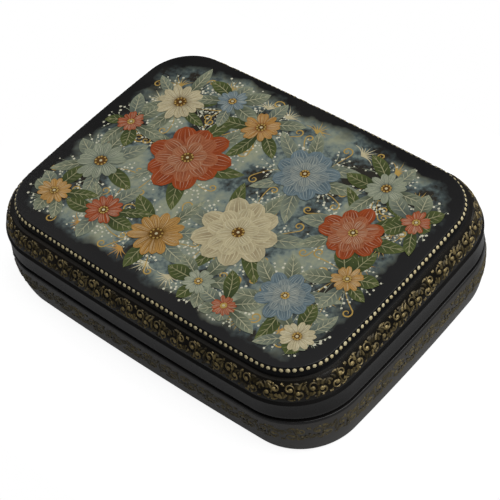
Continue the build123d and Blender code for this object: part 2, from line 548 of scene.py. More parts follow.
def softened(profile):
    """A closed section whose clear corners are eased by short curves."""
    longest_share = 0.45
    eased = []
    for place, here in enumerate(profile):
        corner = Vector(here)
        back = Vector(profile[place - 1]) - corner
        ahead = Vector(profile[(place + 1) % len(profile)]) - corner
        if back.angle(-ahead) < eased_turn:
            eased.append(here)
            continue
        start = corner + back.normalized() * min(edge_softness, back.length * longest_share)
        end = corner + ahead.normalized() * min(edge_softness, ahead.length * longest_share)
        for part in unit_steps(steps=5):
            eased.append(tuple(start * (1 - part) ** 2 + corner * 2 * part * (1 - part) + end * part**2))
    return eased


def mesh_piece(name, vertices, faces, *materials):
    """A new object from points in millimetres, smooth except where faces meet at a clear edge."""
    mesh = bpy.data.meshes.new(name)
    mesh.from_pydata([Vector(point) * MM for point in vertices], [], faces)
    mesh.shade_smooth()
    mesh.set_sharp_from_angle(angle=sharp_turn)
    for material in materials:
        mesh.materials.append(material)
    piece = bpy.data.objects.new(name, mesh)
    bpy.context.scene.collection.objects.link(piece)
    return piece


def sweep_round(name, profile, *materials, capped=False):
    """Carry a section round the outline: a closed ring, or a board whose two ends are filled flat."""
    size = len(profile)
    vertices = []
    for point, outward in stations:
        for outset, height in profile:
            place = point + outset * outward
            vertices.append((place.x, place.y, height))
    faces = []
    spans = range(size - 1) if capped else range(size)
    for row in range(len(stations)):
        here = row * size
        there = (row + 1) % len(stations) * size
        for span in spans:
            after = (span + 1) % size
            faces.append((here + span, there + span, there + after, here + after))
    if capped:
        first_ring = [row * size for row in range(len(stations))]
        faces.append(first_ring[::-1])
        faces.append([vertex + size - 1 for vertex in first_ring])
    return mesh_piece(name, vertices, faces, *materials)


def second_finish(piece, is_picked):
    """Give a piece's second material to the faces that a test of their middle and normal picks."""
    for face in piece.data.polygons:
        if is_picked(face.center / MM, face.normal):
            face.material_index = 1


def base_side():
    """The outer side of the base, from the flat foot up to the seam."""
    arc_x = wall_outset - math.sqrt(base_side_radius**2 - (seam_z - base_swell_z) ** 2)
    foot_x = arc_x + math.sqrt((base_side_radius - foot_radius) ** 2 - (base_swell_z - foot_radius) ** 2)
    meeting = math.atan2(foot_radius - base_swell_z, foot_x - arc_x)
    top = math.asin((seam_z - base_edge_bevel - base_swell_z) / base_side_radius)
    foot = arc_points(foot_x, foot_radius, foot_radius, -math.pi / 2, meeting, steps=12)
    side = arc_points(arc_x, base_swell_z, base_side_radius, meeting, top, steps=18)
    return foot + side[1:]


def rim_side():
    """The hollow face of the lid's rim, rounded under at the seam and cut short below its shoulder."""
    face = bulged_points((wall_outset, seam_z), (wall_outset, rim_top_z), rim_hollow, steps=24)
    low, high = seam_z + rim_edge_radius, rim_top_z - rim_shoulder_bevel
    hollow = [(2 * wall_outset - outset, height) for outset, height in face if low < height < high]
    edge_outset = hollow[0][0] - rim_edge_radius
    return arc_points(edge_outset, low, rim_edge_radius, -math.pi / 2, 0, steps=8) + hollow


def moulding_side():
    """The bulging outer side of the moulding."""
    foot_outset = wall_outset - moulding_setback
    foot = (foot_outset, rim_top_z)
    top = (foot_outset - moulding_lean, moulding_top_z)
    return bulged_points(foot, top, moulding_bulge, steps=24)


def panel_side():
    """The panel's edge (a steep wall, a shoulder with the dots and a tight crest) and its pillow."""
    edge_steps = (wall_middle, shoulder_foot, (0.0, 0.0), shoulder_top, (-crest_inset, crest_rise))
    edge_controls = [(dot_outset + panel_wall_run, moulding_top_z)]
    edge_controls += [(dot_outset + out, dot_z + up) for out, up in edge_steps]
    upright = math.pi / 2
    first = upright - math.asin(pillow_width / pillow_radius)
    pillow_z = panel_top_z - pillow_radius
    pillow = arc_points(pillow_top_outset, pillow_z, pillow_radius, first, upright, steps=30)
    return curve_through(edge_controls, steps=5) + pillow[1:]


def faces_down(middle, normal):
    """Whether a face looks down into the closed box."""
    return normal.z < -nearly_level


def faces_inwards(middle, normal):
    """Whether a face is upright and looks to the middle of the box."""
    return abs(normal.z) < nearly_upright and normal.xy.dot(middle.xy) < 0


def base_wall_shell():
    """The base's wall, whose top face and a narrow band of its side under the seam are painted in the lid's
    black as painted shade in the seam.
    """
    profile = base_side() + [(wall_outset - base_edge_bevel, seam_z), (0.0, seam_z), (0.0, 0.0)]
    piece = sweep_round("base_wall_lacquered", softened(profile), base_black, lid_black)
    # Painted shade: the top face and the upper band of the side take the lid's black, so that the seam
    # reads dark.
    second_finish(piece, lambda middle, normal: middle.z > seam_z - seam_shade_band_width)
    return piece


def bottom_board():
    """The board of the bottom, red on its upper side."""
    profile = [(-glue_gap, 0.0), (-glue_gap, board_high.z)]
    piece = sweep_round("base_bottom_lacquered", profile, base_black, red, capped=True)
    second_finish(piece, lambda middle, normal: normal.z > nearly_level)
    return piece


def collar_sleeve():
    """The red sleeve inside the base, with a bevel that leads the lid onto it."""
    inner = -glue_gap - collar_thickness
    profile = [
        (inner, collar_low.z),
        (-glue_gap, collar_low.z),
        (-glue_gap, collar_high.z - collar_lead),
        (-glue_gap - collar_lead, collar_high.z),
        (inner, collar_high.z),
    ]
    return sweep_round("inner_collar_lacquered", softened(profile), red)


def rim_shell():
    """The lid's black rim, with red as its second material."""
    profile = [(lid_clearance, seam_z)] + rim_side()
    profile += [(wall_outset - rim_shoulder_bevel, rim_top_z), (lid_clearance, rim_top_z)]
    return sweep_round("lid_wall_lacquered", softened(profile), lid_black, red)


def moulding_shell():
    """The bulging band, red underneath, whose foot laps a little over the rim."""
    lapped_foot = (wall_outset - moulding_setback, rim_top_z - moulding_lap)
    profile = [(moulding_inner, rim_top_z), lapped_foot] + moulding_side()
    profile.append((moulding_inner, moulding_top_z))
    piece = sweep_round("lid_moulding_lacquered", profile, moulding_black, red)
    second_finish(piece, faces_down)
    return piece


def panel_shell():
    """The painted panel, red underneath, with the plug that sits in the moulding."""
    plug_outset = moulding_inner - glue_gap
    profile = [(plug_outset, panel_low.z), (plug_outset, moulding_top_z)] + panel_side()
    piece = sweep_round("lid_panel_lacquered", profile, painted_panel, red, capped=True)
    second_finish(piece, faces_down)
    return piece


base_wall = base_wall_shell()
bottom = bottom_board()
collar = collar_sleeve()
rim = rim_shell()
moulding = moulding_shell()
panel = panel_shell()


# The hinge at the back of the seam: side 1 belongs to the lid above it and -1 to the base below
def prism(name, shape, low_x, high_x, *materials):
    """A closed block from an upright shape of (y, z) points, anticlockwise as seen from the right."""
    size = len(shape)
    vertices = [(x, y, z) for x in (low_x, high_x) for y, z in shape]
    faces = [list(range(size))[::-1], list(range(size, 2 * size))]
    faces += [(step, (step + 1) % size, (step + 1) % size + size, step + size) for step in range(size)]
    return mesh_piece(name, vertices, faces, *materials)


def circle_points(radius, steps):
    """Points (y, z) of a circle round the hinge's axis."""
    return arc_points(hinge_y, seam_z, radius, 0, 2 * math.pi, steps)[:-1]


def down_tail(points, side):
    """Turn points (along, across) so that they run from the hinge axis down the slope of a tail."""
    lean = math.pi - side * math.radians(tail_slope)
    turned = Matrix.Rotation(lean, 2)
    return [tuple(Vector((hinge_y, seam_z)) + turned @ Vector(point)) for point in points]


def rolled_section(side):
    """A knuckle rolled from sheet, once round the pin, with a gap where its edge meets the tail."""
    half = sheet_thickness / 2
    lip = half + roll_gap
    bore = pin_radius + bore_room
    round_end = 2 * math.pi - math.asin(half / knuckle_radius)
    outer = arc_points(0, 0, knuckle_radius, math.asin(lip / knuckle_radius), round_end, steps=48)
    bore_end = math.asin(lip / bore) - 2 * math.pi
    inner = arc_points(0, 0, bore, math.asin(half / bore), bore_end, steps=40)
    return down_tail(outer + [(tail_reach, -half), (tail_reach, half)] + inner, side)


def knuckle_nodes(side):
    """Names of the knuckles that belong to one side."""
    owner = "lid_knuckle" if side > 0 else "base_knuckle"
    return [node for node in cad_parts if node.startswith(owner)]


def seat_cutters(side):
    """Blocks that cut the knuckles' groove, the stop bevel and the slits for the tails."""
    half = hinge_length / 2 + groove_end_room
    reach = form_half_length + wall_outset
    beyond = 2 * wall_outset
    far_z = seam_z + side * beyond * math.tan(math.radians(stop_bevel_angle))
    groove = circle_points(groove_radius, steps=48)
    wedge = [(hinge_y, seam_z), (hinge_y + beyond, seam_z), (hinge_y + beyond, far_z)][::side]
    cutters = [prism("groove", groove, -half, half), prism("stop_bevel", wedge, -reach, reach)]
    width = sheet_thickness / 2 + slit_gap
    depth = tail_reach + slit_gap
    slit = down_tail([(0, -width), (depth, -width), (depth, width), (0, width)], side)
    for node in knuckle_nodes(side):
        low, high = node_mm(node)
        cutters.append(prism("slit", slit, low.x - slit_gap, high.x + slit_gap))
    return cutters


def settle(piece):
    """Replace a piece's mesh by the result of its modifiers, and remove them."""
    depsgraph = bpy.context.evaluated_depsgraph_get()
    made = bpy.data.meshes.new_from_object(piece.evaluated_get(depsgraph))
    piece.modifiers.clear()
    piece.data = made
    made.name = piece.name


def cut_seat(piece, side):
    """Cut the hinge seat in a wall and make the result its plain mesh."""
    cutters = seat_cutters(side)
    for cutter in cutters:
        cut = piece.modifiers.new("hinge_seat", "BOOLEAN")
        cut.operation = "DIFFERENCE"
        cut.solver = "EXACT"
        cut.object = cutter
    settle(piece)
    piece.data.set_sharp_from_angle(angle=sharp_turn)
    for cutter in cutters:
        bpy.data.objects.remove(cutter)


cut_seat(base_wall, side=-1)
cut_seat(rim, side=1)
second_finish(rim, faces_inwards)
knuckles = {}
for side in (-1, 1):
    for node in knuckle_nodes(side):
        low, high = node_mm(node)
        knuckles[node] = prism(node + "_rolled", rolled_section(side), low.x, high.x, hinge_brass)
wire = prism("hinge_pin_wire", circle_points(pin_radius, steps=32), pin_low.x, pin_high.x, pin_steel)


# Brushwork: strokes are laid flat, then carried onto the box
def beside(path, widths, share):
    """A path moved to its left by a share of its half width at each point."""
    last = len(path) - 1
    moved = []
    for place, (x, y) in enumerate(path):
        run = (Vector(path[min(place + 1, last)]) - Vector(path[max(place - 1, 0)])).normalized()
        reach = share * widths[place] / 2
        moved.append((x - run.y * reach, y + run.x * reach))
    return moved


class Brush:
    """Collects strokes: points (along, across, raise) with faces, and a tone or a colour for each point."""

    def __init__(self):
        self.points = []
        self.faces = []
        self.tones = []
        self.level = 0.0

    def stroke(self, path, widths, tones, crest=0.0, edge_tones=None):
        """A ribbon along a path, raised in the middle; widths and tones are given for each point."""
        first = len(self.points)
        last = len(path) - 1
        edge_tones = edge_tones or tones
        left, right = beside(path, widths, 1), beside(path, widths, -1)
        for place, middle in enumerate(path):
            peak = min(crest, widths[place] / 2)
            for (x, y), height, tone in (
                (right[place], 0.0, edge_tones[place]),
                (middle, peak, tones[place]),
                (left[place], 0.0, edge_tones[place]),
            ):
                self.points.append((x, y, self.level + height))
                self.tones.append(tone)
        for place in range(last):
            here = first + 3 * place
            for row in (0, 1):
                self.faces.append((here + row, here + row + 3, here + row + 4, here + row + 1)[::-1])

    def bead(self, x, y, radius, tone, crest, sides=10):
        """A round dab, highest in the middle, with a ring of points on its shoulder."""
        shoulder_reach = 0.6
        shoulder_height = 0.8
        first = len(self.points)
        for scale, height in ((1.0, 0.0), (shoulder_reach, crest * shoulder_height)):
            for side in range(sides):
                angle = 2 * math.pi * side / sides
                reach = radius * scale
                place = (x + reach * math.cos(angle), y + reach * math.sin(angle), self.level + height)
                self.points.append(place)
        self.points.append((x, y, self.level + crest))
        self.tones += [tone] * (2 * sides + 1)
        for side in range(sides):
            after = (side + 1) % sides
            outer, outer_after = first + side, first + after
            inner, inner_after = outer + sides, outer_after + sides
            self.faces.append((outer, outer_after, inner_after, inner))
            self.faces.append((inner, inner_after, first + 2 * sides))


def around(centre, radius, angle):
    """A point on a circle; the angle is in degrees."""
    turn = math.radians(angle)
    return centre[0] + radius * math.cos(turn), centre[1] + radius * math.sin(turn)


def spiral(centre, start_radius, end_radius, start_angle, turn, steps):
    """A path that winds in from start_radius to end_radius; angles in degrees."""
    tightening = 0.8
    path = []
    for part in unit_steps(steps):
        radius = start_radius + (end_radius - start_radius) * part**tightening
        path.append(around(centre, radius, start_angle + turn * part))
    return path


def comma_path(start, angle, length, curl, steps):
    """A path that leaves start at an angle and bends by curl degrees over its length."""
    x, y = start
    path = [start]
    for step in range(steps):
        heading = math.radians(angle + curl * (step + 0.5) / steps)
        x += length / steps * math.cos(heading)
        y += length / steps * math.sin(heading)
        path.append((x, y))
    return path


def comma_widths(width, steps):
    """A round loaded start that runs out to a point."""
    thinnest = 0.02
    head_start = 0.12
    early_swell = 0.55
    roundness = 0.8
    widths = []
    for part in unit_steps(steps):
        fullness = math.sin(math.pi * min(1.0, (part + head_start) ** early_swell)) ** roundness
        widths.append(width * max(thinnest, fullness))
    return widths


def swelling_widths(thin, thick, steps):
    """Thin at the start, swelling to the end."""
    return [thin + (thick - thin) * part**2 for part in unit_steps(steps)]


def toned_motif(name, points, brush):
    """A motif of unit size for an ornament band, with the tone of each point."""
    piece = mesh_piece(name, [tuple(value / MM for value in point) for point in points], brush.faces)
    tone = piece.data.attributes.new("tone", "FLOAT", "POINT")
    tone.data.foreach_set("value", brush.tones)
    return piece


# Each leaf's root, heading in degrees, length, bend in degrees and width, on one half of a scroll
scroll_leaves = (
    ((0.54, 0.36), -98, 0.42, -60, 0.17),
    ((0.36, 0.37), -118, 0.40, -50, 0.17),
    ((0.18, 0.40), -122, 0.38, -30, 0.15),
    ((0.02, 0.52), -112, 0.36, 45, 0.13),
    ((0.56, 0.90), 20, 0.34, -70, 0.14),
    ((0.08, 0.92), 190, 0.26, 60, 0.12),
)


def scroll_curl(brush, size, hand, placed):
    """A stroke that swells from the middle of the scroll into a curl with a bead at its end."""
    middle = (0.32, 0.66)
    end_radius = 0.09
    start_angle = -50
    thin, thick = 0.06, 0.16
    start_tone = 0.35
    edge_tone = 0.35
    bead_radius = 0.11
    bead_crest = 1.3 * scroll_stroke_height
    centre = tuple(value + hand.uniform(-0.03, 0.03) for value in middle)
    radius = size * hand.uniform(0.9, 1.08)
    winding = 360 * hand.uniform(0.85, 1.1)
    curl = spiral(centre, radius, end_radius, start_angle, winding, steps=24)
    path = placed([(scroll_unit_ratio / 2, 0.5)] + curl)
    last = len(path) - 1
    load = hand.choice((0.55, 0.8, 1.0))
    tones = [load * (start_tone + (1 - start_tone) * part) for part in unit_steps(last)]
    edge_tones = [tone * edge_tone for tone in tones]
    brush.stroke(path, swelling_widths(thin, thick, last), tones, scroll_stroke_height, edge_tones)
    brush.bead(*path[-1], bead_radius, hand.uniform(0.7, 1.0), bead_crest)


def scroll_leaf(brush, root, angle, length, bend, width, hand, placed):
    """A comma stroke that fades to its point."""
    steps = 8
    fade = 0.6
    edge_tone = 0.3
    load = hand.choice((0.15, 0.4, 0.7, 1.0))
    heading = angle + hand.uniform(-14, 14)
    path = comma_path(root, heading, length * hand.uniform(0.85, 1.25), bend, steps)
    tones = [load * (1 - fade * part) for part in unit_steps(steps)]
    edge_tones = [tone * edge_tone for tone in tones]
    widths = comma_widths(width * hand.uniform(0.8, 1.35), steps)
    brush.stroke(placed(path), widths, tones, scroll_stroke_height, edge_tones)


def scroll_half(brush, size, hand, placed):
    """A curl with its leaves and a small dab."""
    dab_x, dab_y = 0.66, 0.1
    dab_radius = 0.06
    scroll_curl(brush, size, hand, placed)
    for root, angle, length, bend, width in scroll_leaves:
        scroll_leaf(brush, root, angle, length, bend, width, hand, placed)
    dab = placed([(dab_x + hand.uniform(-0.05, 0.05), dab_y)])[0]
    brush.bead(*dab, dab_radius, hand.uniform(0.4, 1.0), scroll_stroke_height, sides=8)


def scroll_motif(name, seed, falling):
    """One turn of the running scroll, one high and scroll_unit_ratio long: an S of two leafy curls."""
    hand = random.Random(seed)
    brush = Brush()

    def first_half(path):
        """Leave a path as it is, or flip it in a falling motif."""
        return [(x, 1 - y) for x, y in path] if falling else path

    def second_half(path):
        """Turn a path round the middle of the motif."""
        return first_half([(scroll_unit_ratio - x, 1 - y) for x, y in path])

    scroll_half(brush, 0.29, hand, first_half)
    scroll_half(brush, 0.24, hand, second_half)
    return toned_motif(name, brush.points, brush)


def dab_motif(name, seed):
    """A round dab of paint of unit radius, not quite a true circle."""
    hand = random.Random(seed)
    brush = Brush()
    stretch = 1.04
    brush.bead(0, 0, 1.0, hand.uniform(0.4, 1.0), dot_height, sides=14)
    lean = hand.uniform(-0.12, 0.12)
    points = [(x * stretch + lean * y, y * hand.uniform(0.96, 1.0), z) for x, y, z in brush.points]
    return toned_motif(name, points, brush)


def line_object(name, points, cyclic):
    """A poly curve in metres through points given in millimetres."""
    data = bpy.data.curves.new(name, "CURVE")
    data.dimensions = "3D"
    spline = data.splines.new("POLY")
    spline.points.add(len(points) - 1)
    for control, place in zip(spline.points, points):
        control.co = (*(Vector(place) * MM), 1.0)
    spline.use_cyclic_u = cyclic
    line = bpy.data.objects.new(name, data)
    bpy.context.scene.collection.objects.link(line)
    return line


def curve_sample(tree, line, length):
    """Place and direction at a length along a line object."""
    curve = add_node(tree, "GeometryNodeObjectInfo", {"Object": line}).outputs["Geometry"]
    inputs = {"Curves": curve, "Length": length}
    return add_node(tree, "GeometryNodeSampleCurve", inputs, mode="LENGTH", use_all_curves=True)


def wrap_onto_section(tree, start, geometry):
    """Carry flat ornament (along, across, raise) round the outline and up the section of a wall."""
    flat = parts_of(tree, add_node(tree, "GeometryNodeInputPosition").outputs["Position"])
    along = calculate(tree, "FLOORED_MODULO", flat["X"], start.outputs["Round Length"])
    across = calculate(tree, "ADD", flat["Y"], start.outputs["Margin"])
    round_sample = curve_sample(tree, start.outputs["Outline"], along)
    wall_sample = curve_sample(tree, start.outputs["Section"], across)
    upwards = (0.0, 0.0, 1.0)
    outward = calculate_vector(tree, "CROSS_PRODUCT", {0: round_sample.outputs["Tangent"], 1: upwards})
    wall = parts_of(tree, wall_sample.outputs["Position"])
    climb = parts_of(tree, wall_sample.outputs["Tangent"])
    lift = calculate(tree, "ADD", flat["Z"], start.outputs["Raise"])
    outset = calculate(tree, "SUBTRACT", wall["X"], start.outputs["Line Outset"])
    outset = calculate(tree, "ADD", outset, calculate(tree, "MULTIPLY", lift, climb["Z"]))
    height = calculate(tree, "SUBTRACT", wall["Z"], calculate(tree, "MULTIPLY", lift, climb["X"]))
    pushed = calculate_vector(tree, "SCALE", {0: outward, "Scale": outset})
    raised = add_node(tree, "ShaderNodeCombineXYZ", {"Z": height}).outputs[0]
    placed = calculate_vector(tree, "ADD", {0: round_sample.outputs["Position"], 1: pushed})
    placed = calculate_vector(tree, "ADD", {0: placed, 1: raised})
    return add_node(tree, "GeometryNodeSetPosition", {"Geometry": geometry, "Position": placed}).outputs[0]


def running_ornament_tree():
    """Motifs in a row, scaled to the band, varied a little and wrapped round a wall."""
    inputs = (
        ("Motifs", "NodeSocketCollection", None),
        ("Outline", "NodeSocketObject", None),
        ("Section", "NodeSocketObject", None),
        ("Count", "NodeSocketInt", 10),
        ("Pitch", "NodeSocketFloat", 0.01),
        ("Motif Size", "NodeSocketVector", (1.0, 1.0, 1.0)),
        ("Round Length", "NodeSocketFloat", 0.3),
        ("Line Outset", "NodeSocketFloat", 0.0),
        ("Margin", "NodeSocketFloat", 0.0),
        ("Raise", "NodeSocketFloat", 0.0),
        ("Size Change", "NodeSocketFloat", 0.0),
        ("Seed", "NodeSocketInt", 1),
        ("Material", "NodeSocketMaterial", None),
    )
    outputs = (("Geometry", "NodeSocketGeometry"),)
    tree, start, end = new_group("running_ornament", "GeometryNodeTree", inputs, outputs)
    step = add_node(tree, "ShaderNodeCombineXYZ", {"X": start.outputs["Pitch"]}).outputs[0]
    row_inputs = {"Count": start.outputs["Count"], "Offset": step}
    row = add_node(tree, "GeometryNodeMeshLine", row_inputs, mode="OFFSET").outputs["Mesh"]
    family = {"Collection": start.outputs["Motifs"], "Separate Children": True, "Reset Children": True}
    motifs = add_node(tree, "GeometryNodeCollectionInfo", family).outputs[0]
    smallest = calculate(tree, "SUBTRACT", 1.0, start.outputs["Size Change"])
    size_range = {2: smallest, 3: 1.0, "Seed": start.outputs["Seed"]}
    change = add_node(tree, "FunctionNodeRandomValue", size_range, data_type="FLOAT").outputs[1]
    placing = {
        "Points": row,
        "Instance": motifs,
        "Pick Instance": True,
        "Instance Index": add_node(tree, "GeometryNodeInputIndex").outputs[0],
        "Scale": calculate_vector(tree, "SCALE", {0: start.outputs["Motif Size"], "Scale": change}),
    }
    instances = add_node(tree, "GeometryNodeInstanceOnPoints", placing).outputs[0]
    loose = add_node(tree, "GeometryNodeRealizeInstances", {"Geometry": instances}).outputs[0]
    coat = {"Geometry": wrap_onto_section(tree, start, loose), "Material": start.outputs["Material"]}
    painted = add_node(tree, "GeometryNodeSetMaterial", coat).outputs[0]
    return put_out(tree, end, Geometry=painted)


running_ornament = running_ornament_tree()


def grow_ornament(name, motifs, section, material, count, motif_size, line_outset, **values):
    """A band of ornament round the box, as a plain mesh."""
    outline_points = [(*(point + line_outset * outward), 0.0) for point, outward in stations]
    outline = line_object("ornament_line", outline_points, cyclic=True)
    section_points = [(outset, 0.0, height) for outset, height in section]
    wall = line_object("ornament_section", section_points, cyclic=False)
    family = bpy.data.collections.new(name + "_motifs")
    bpy.context.scene.collection.children.link(family)
    for motif in motifs:
        family.objects.link(motif)
    round_length = outline.data.splines[0].calc_length()
    host = mesh_piece(name, [], [])
    modifier = host.modifiers.new(name, "NODES")
    modifier.node_group = running_ornament
    settings = {
        "Motifs": family,
        "Outline": outline,
        "Section": wall,
        "Count": count,
        "Pitch": round_length / count,
        "Motif Size": [size * MM for size in motif_size],
        "Round Length": round_length,
        "Line Outset": line_outset * MM,
        "Raise": gold_raise * MM,
        "Material": material,
    }
    for setting, value in values.items():
        settings[setting.replace("_", " ")] = value
    for socket in running_ornament.interface.items_tree:
        if socket.name in settings and socket.in_out == "INPUT":
            modifier[socket.identifier] = settings[socket.name]
    settle(host)
    for helper in (outline, wall):
        bpy.data.objects.remove(helper)
    bpy.data.collections.remove(family)
    return host


def remove_motifs(motifs):
    """Take away the loose motifs of a finished band."""
    for motif in motifs:
        bpy.data.objects.remove(motif)


def round_length_mm(outset):
    """Length of the outline at an outset."""
    places = [point + outset * outward for point, outward in stations]
    return sum((places[step] - places[step - 1]).length for step in range(len(places)))


def dot_border():
    """A line of gold dots just below the shoulder of the panel's edge."""
    motifs = [dab_motif(f"dab_{seed}", seed) for seed in range(9)]
    section = panel_side()
    nearest = min(range(len(section)), key=lambda place: math.dist(section[place], (dot_outset, dot_z)))
    climb = sum(math.dist(section[step], section[step - 1]) for step in range(1, nearest + 1))
    count = round(round_length_mm(dot_outset) / dot_pitch)
    placing = {"Margin": (climb - dot_slide) * MM, "Size_Change": dot_size_change, "Seed": 4}
    dot_size = (dot_radius, dot_radius, dot_radius)
    piece = grow_ornament(
        "lid_dot_border", motifs, section, dot_gold, count, dot_size, dot_outset, **placing
    )
    remove_motifs(motifs)
    return piece


def scroll_bands():
    """The bright scroll on the lid's moulding and the dull one on the base."""
    motifs = [scroll_motif(f"scroll_{seed}", seed, seed % 3 == 2) for seed in range(8)]
    bands = []
    for name, section, material, height, margin, seed in (
        ("lid_scroll_band", moulding_side(), scroll_gold, lid_scroll_height, lid_scroll_margin, 2),
        ("base_scroll_band", base_side(), scroll_bronze, base_scroll_height, base_scroll_margin, 5),
    ):
        middle_outset = section[len(section) // 2][0]
        round_length = round_length_mm(middle_outset)
        count = 2 * round(round_length / (height * scroll_unit_ratio) / 2)
        size = (round_length / count / scroll_unit_ratio, height, height)
        placing = {"Margin": margin * MM, "Seed": seed}
        bands.append(grow_ornament(name, motifs, section, material, count, size, middle_outset, **placing))
    remove_motifs(motifs)
    return bands


dots = dot_border()
lid_scroll, base_scroll = scroll_bands()


# The painting on the lid: garden flowers on the pale ground
paint_codes = {
    "rust": "a04c25",
    "wine": "622416",
    "ochre": "b68947",
    "umber": "5e411d",
    "ivory": "c7bc97",
    "stone": "949a82",
    "sky": "728389",
    "teal": "314145",
    "olive": "5e6738",
    "pine": "263323",
    "gold": "b39450",
    "white": "cfccb6",
}
paints = {name: colour(code) for name, code in paint_codes.items()}


def blend(first, second, share):
    """A colour that lies between two."""
    return tuple(low + (high - low) * share for low, high in zip(first, second))


def shades(first, second, steps):
    """Even steps from one colour to another."""
    return [blend(first, second, part) for part in unit_steps(steps)]


def panel_height(x, y):
    """Height of the panel's top above a point in plan."""
    beyond = max(0.0, outset_at(x, y) - pillow_top_outset)
    return panel_top_z - pillow_radius + math.sqrt(pillow_radius**2 - beyond**2)


def inside_picture(path):
    """A path, cut where it would run into the black margin."""
    shortest = 3
    limit = dot_outset - picture_margin
    beyond = [place for place, (x, y) in enumerate(path) if outset_at(x, y) > limit]
    return path[: max(beyond[0], shortest)] if beyond else path


def fine_line(brush, path, width, tone, crest=0.0):
    """A hair line that is fullest in the middle."""
    end_share = 0.25
    last = len(path) - 1
    widths = [width * (end_share + (1 - end_share) * math.sin(math.pi * part)) for part in unit_steps(last)]
    brush.stroke(path, widths, [tone] * (last + 1), crest)


def petal(brush, root, angle, length, width, deep, light, hand):
    """A round-ended petal, deep at its root and light at its edge, with fine lines brushed along it."""
    steps = 14
    widest = 0.62
    root_width = 0.16
    roundness = 0.8
    least_closing = 0.001
    middle_light, edge_light = 0.7, 0.25
    hair_width = 0.2
    hair_start = 4
    hair_places = (-0.66, -0.33, 0.0, 0.33, 0.66)
    path = comma_path(root, angle, length * hand.uniform(0.9, 1.06), hand.uniform(-16, 16), steps)
    widths = []
    for part in unit_steps(steps):
        opening = root_width + (1 - root_width) * min(1.0, part / widest) ** roundness
        closing = math.sqrt(max(least_closing, 1 - max(0.0, (part - widest) / (1 - widest)) ** 2))
        widths.append(width * opening * closing)
    brush.level += paint_layer
    middle_tones = shades(deep, blend(deep, light, middle_light), steps)
    edge_tones = shades(blend(deep, light, edge_light), light, steps)
    brush.stroke(path, widths, middle_tones, edge_tones=edge_tones)
    brush.level += paint_layer
    for share in hair_places:
        line = beside(path, widths, share + hand.uniform(-0.07, 0.07))[hair_start:-1]
        fine_line(brush, line, hair_width, blend(light, paints["white"], hand.uniform(0.0, 0.35)))


def heart(brush, centre, radius, hand):
    """The beaded middle of a flower."""
    beads = 9
    ring_share = 0.8
    bead_radius = 0.26
    eye_radius = 0.36
    brush.level += paint_layer
    brush.bead(*centre, radius, paints["umber"], bead_height, sides=14)
    brush.level += bead_height
    for index in range(beads):
        place = around(centre, radius * ring_share, 360 / beads * index + hand.uniform(-6, 6))
        brush.bead(*place, bead_radius, paints["gold"], bead_height, sides=7)
    brush.bead(*centre, eye_radius, paints["ivory"], bead_height, sides=8)


def petal_ring(brush, centre, length, width, deep, light, hand, count, turn, sway):
    """Petals all round a flower, each swayed a little to one side."""
    for index in range(count):
        angle = turn + 360 * index / count + hand.uniform(-sway, sway)
        petal(brush, centre, angle, length, width, deep, light, hand)


def rosette(brush, centre, radius, deep, light, hand):
    """A full flower: three rings of petals round a beaded heart."""
    ivory_share = 0.6
    heart_share = 0.15
    turn = hand.uniform(0, 360)
    for count, reach, breadth, fade in ((9, 1.0, 0.56, 0.0), (8, 0.74, 0.46, 0.22), (6, 0.48, 0.38, 0.4)):
        length, width = radius * reach, radius * breadth
        inner = blend(deep, light, fade)
        outer = blend(light, paints["ivory"], fade * ivory_share)
        petal_ring(brush, centre, length, width, inner, outer, hand, count, turn, sway=6)
        turn += 180 / count
    heart(brush, centre, radius * heart_share, hand)


def daisy(brush, centre, radius, deep, light, hand):
    """An open flower with one ring of narrow petals."""
    breadth = 0.38
    heart_share = 0.26
    petal_ring(brush, centre, radius, radius * breadth, deep, light, hand, count=13, turn=0, sway=7)
    heart(brush, centre, radius * heart_share, hand)


def leaf(brush, root, angle, length, width, deep, light, hand):
    """A pointed leaf with a midrib and side veins."""
    thinnest = 0.04
    late_swell = 1.4
    roundness = 0.9
    middle_light = 0.6
    vein_light = 0.4
    midrib_width = 0.24
    vein_width = 0.14
    vein_reach = 0.8
    path = inside_picture(comma_path(root, angle, length, hand.uniform(-45, 45), steps=16))
    last = len(path) - 1
    fullness = [math.sin(math.pi * part**late_swell) ** roundness for part in unit_steps(last)]
    widths = [width * share + thinnest for share in fullness]
    brush.level += paint_layer
    middle_tones = shades(deep, blend(deep, light, middle_light), last)
    brush.stroke(path, widths, middle_tones, edge_tones=shades(deep, light, last))
    brush.level += paint_layer
    vein = blend(light, paints["ivory"], vein_light)
    fine_line(brush, path[2:], midrib_width, vein)
    for place in range(last // 2, last - 1, 2):
        for side in (-1, 1):
            tip = beside(path, widths, side * vein_reach)[place + 1]
            fine_line(brush, curve_through([path[place - 1], tip], steps=3), vein_width, vein)


def tendril(brush, root, angle, hand):
    """A gold curl on a long stem."""
    line_width = 0.34
    inner_radius = 0.25
    winding = 430
    stem = comma_path(root, angle, hand.uniform(4.5, 7.0), hand.uniform(-40, 40), steps=8)
    run = math.degrees(math.atan2(stem[-1][1] - stem[-2][1], stem[-1][0] - stem[-2][0]))
    side = hand.choice((-1, 1))
    size = hand.uniform(0.9, 1.5)
    middle = around(stem[-1], size, run + 90 * side)
    curl = spiral(middle, size, inner_radius, run - 90 * side, winding * side, steps=20)
    path = stem + curl[1:]
    if path == inside_picture(path):
        fine_line(brush, path, line_width, paints["gold"], line_height)


def spray(brush, root, angle, hand):
    """Thin twigs that end in tiny pale dabs."""
    twig_width = 0.16
    twig_bend = 0.8
    scatter = 0.4
    for turn in (-38, -19, 0, 19, 38):
        twig = comma_path(root, angle + turn, hand.uniform(3.5, 6.0), turn * twig_bend, steps=8)
        twig = inside_picture(twig)
        fine_line(brush, twig, twig_width, paints["stone"])
        for place in range(3, len(twig), 2):
            x, y = twig[place]
            dab = (x + hand.uniform(-scatter, scatter), y + hand.uniform(-scatter, scatter))
            brush.bead(*dab, hand.uniform(0.18, 0.34), paints["white"], bead_height, sides=7)


